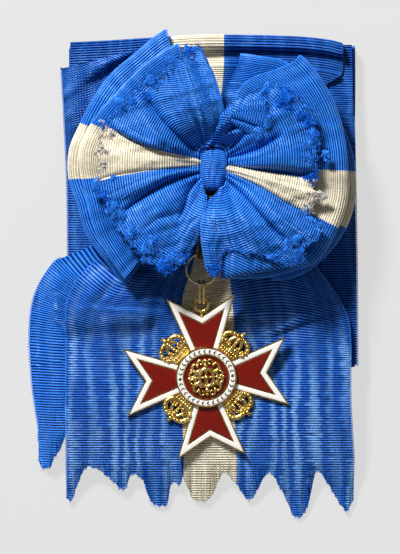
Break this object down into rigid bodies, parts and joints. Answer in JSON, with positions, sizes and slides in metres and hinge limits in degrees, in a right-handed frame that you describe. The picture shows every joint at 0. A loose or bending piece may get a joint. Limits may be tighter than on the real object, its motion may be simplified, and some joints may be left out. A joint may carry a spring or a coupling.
{
  "type": "order insignia: sash with bow and enamelled cross badge",
  "caption": "Wide ribbon sash folded into a flat pack, with two torn tails, a gathered bow and a four-armed enamelled cross hung from a ring.",
  "frame": {"origin": "centre of the footprint on the surface that the insignia lies on", "axes": "+X to the right across the sash, +Y along the sash towards its folded top, +Z away from the surface"},
  "size_m": [0.1217, 0.1811, 0.0292],
  "materials": {
    "ribbon": "ribbed silk with watered figure and an ivory centre stripe",
    "tape": "plain woven tape",
    "gilt": "polished gilt, slightly worn",
    "white_enamel": "opaque glossy enamel",
    "red_enamel": "translucent enamel over an engraved ground"
  },
  "bodies": {
    "root": {"sash_pack": "ribbon", "sash_second_ply": "ribbon", "sash_gathered_ply": "ribbon", "rear_tail": "ribbon", "front_tail": "ribbon", "rear_bow": "ribbon", "front_bow": "ribbon", "bow_ends": "ribbon", "knot_band": "ribbon", "hanging_loop": "tape", "suspension_ring": "gilt", "double_link": "gilt", "cross_body": "gilt", "white_enamel_top": "white_enamel", "white_enamel_left": "white_enamel", "white_enamel_bottom": "white_enamel", "white_enamel_right": "white_enamel", "red_enamel_top": "red_enamel", "red_enamel_left": "red_enamel", "red_enamel_bottom": "red_enamel", "red_enamel_right": "red_enamel", "medallion": "gilt", "medallion_ring_enamel": "white_enamel", "medallion_field_enamel": "red_enamel", "medallion_ornament": "gilt"}
  },
  "joints": []
}
